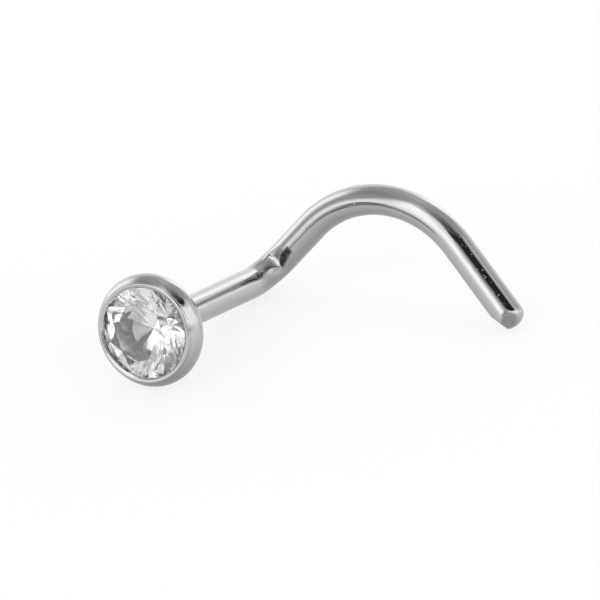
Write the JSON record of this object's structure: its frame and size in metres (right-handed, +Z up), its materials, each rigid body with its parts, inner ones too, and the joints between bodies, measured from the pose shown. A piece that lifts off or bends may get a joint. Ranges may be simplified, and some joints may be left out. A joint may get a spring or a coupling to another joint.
{
  "type": "nose stud",
  "caption": "Nose screw stud: a clear round brilliant in a polished steel bezel cup, on a straight post that bends square into a curled, round-ended wire.",
  "frame": {"origin": "middle of the bottom of the bounding box, on the surface that the stud lies on", "axes": "+Z up from that surface; +X along the stud's length, from the stone's side to the tip of the curl; the stone's face looks towards -Y and a little towards -X"},
  "size_m": [0.011, 0.0066, 0.0032],
  "materials": {
    "steel": "surgical steel, mirror polished",
    "crystal": "clear lead crystal, cut and polished flat facets"
  },
  "bodies": {
    "root": {"bezel_and_wire": "steel", "stone": "crystal"}
  },
  "joints": []
}
